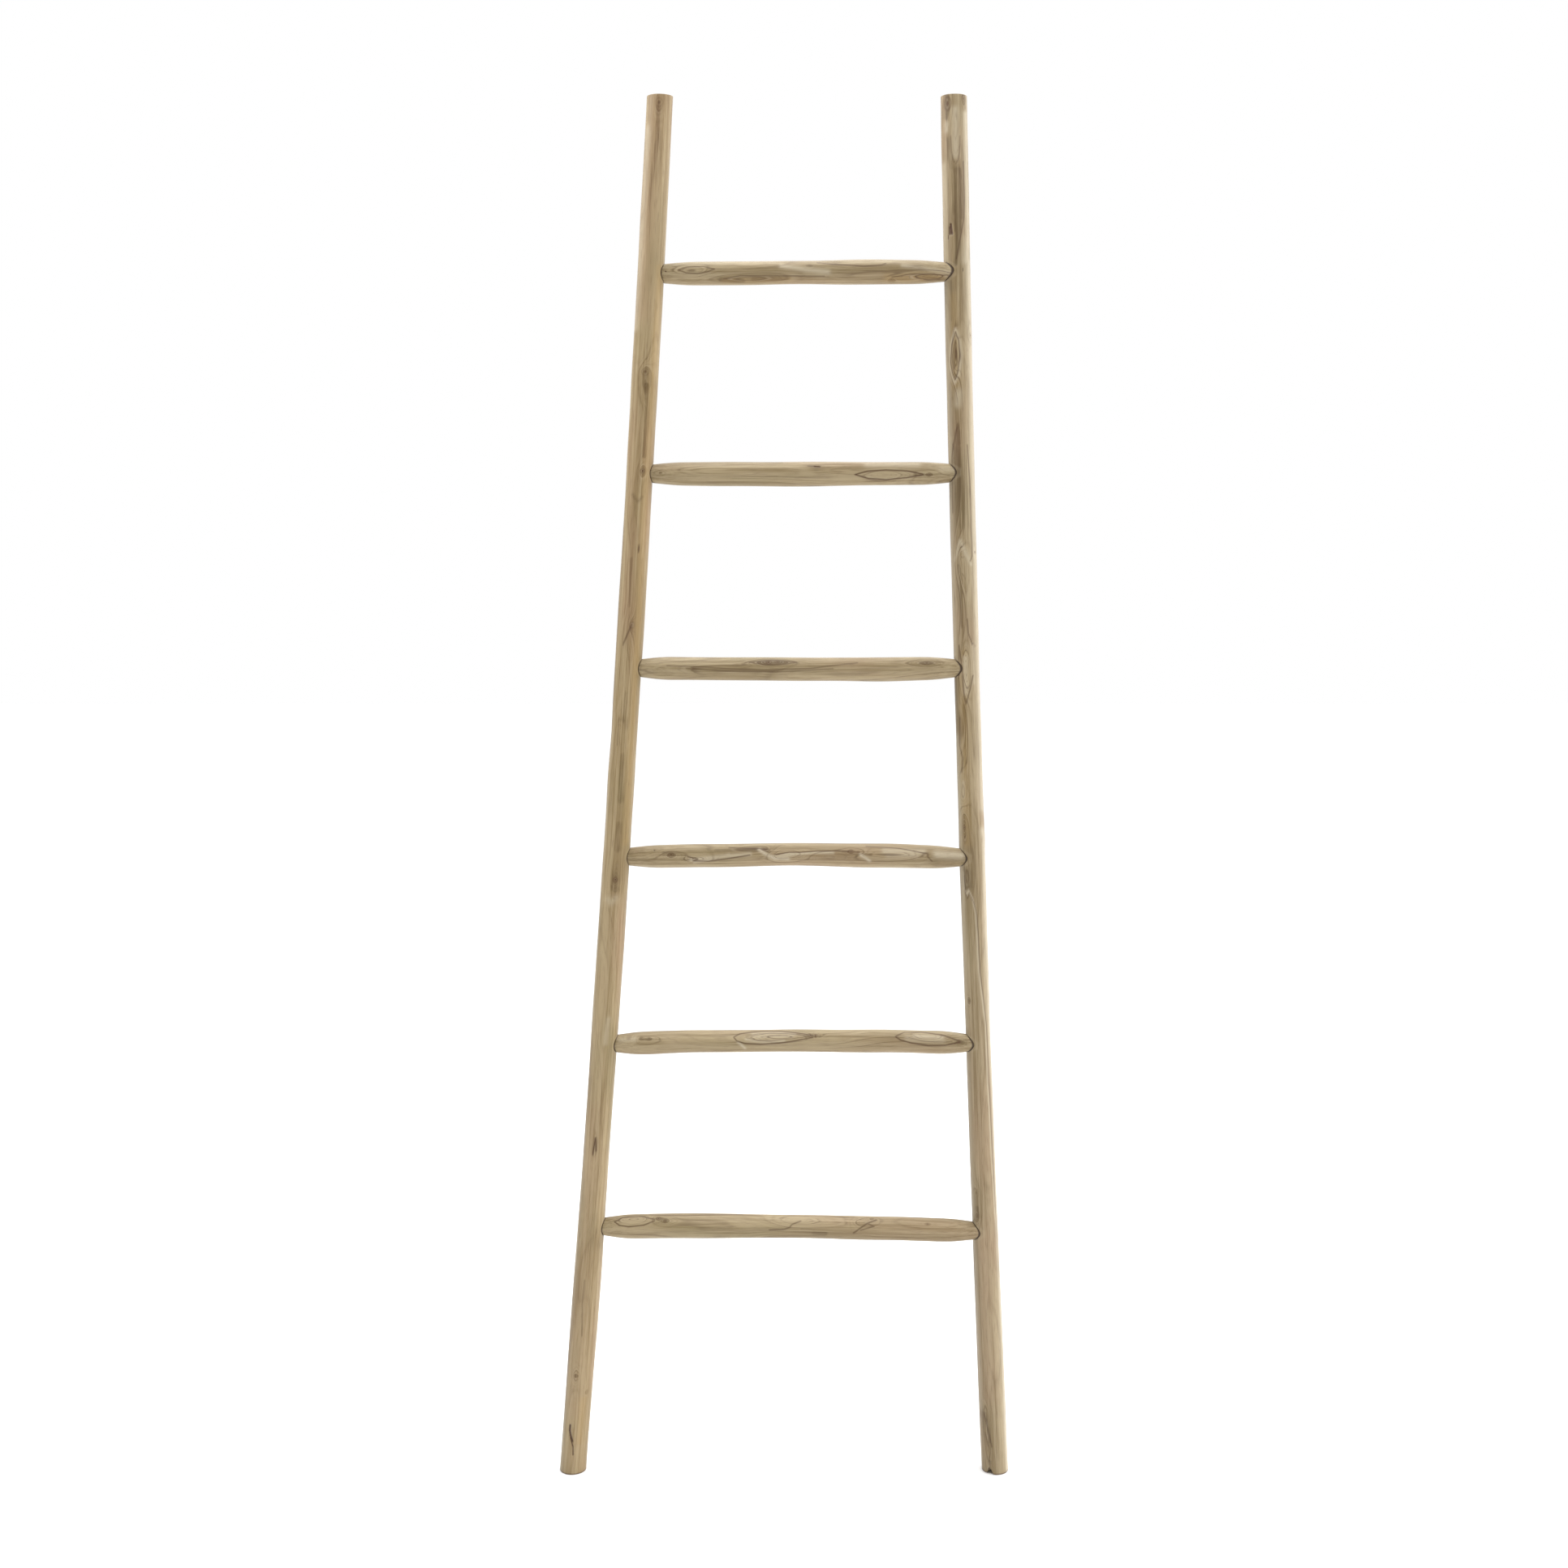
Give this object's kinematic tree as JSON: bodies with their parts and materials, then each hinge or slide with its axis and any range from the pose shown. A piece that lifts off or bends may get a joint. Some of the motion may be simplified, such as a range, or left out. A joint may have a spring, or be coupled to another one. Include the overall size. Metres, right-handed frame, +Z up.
{
  "type": "leaning pole ladder",
  "caption": "Leaning decorative ladder of natural round teak poles: rails that splay towards level-cut feet, joined by round rungs in blind sockets, to hang towels on.",
  "frame": {"origin": "on the floor, midway between the feet and between the rails' front and back", "axes": "+Z up along the ladder, +X to the right as seen from the front, -Y towards the viewer; the ladder stands upright and the user leans it back"},
  "size_m": [0.6731, 0.0424, 2],
  "materials": {
    "rail_wood": "sanded, unoiled, matt",
    "rung_wood": "sanded, unoiled, matt",
    "nail_steel": "bright drawn wire"
  },
  "bodies": {
    "root": {"rail_left": "rail_wood", "rail_right": "rail_wood", "rung_1": "rung_wood", "rung_2": "rung_wood", "rung_3": "rung_wood", "rung_4": "rung_wood", "rung_5": "rung_wood", "rung_6": "rung_wood", "locking_nails": "nail_steel"}
  },
  "joints": []
}
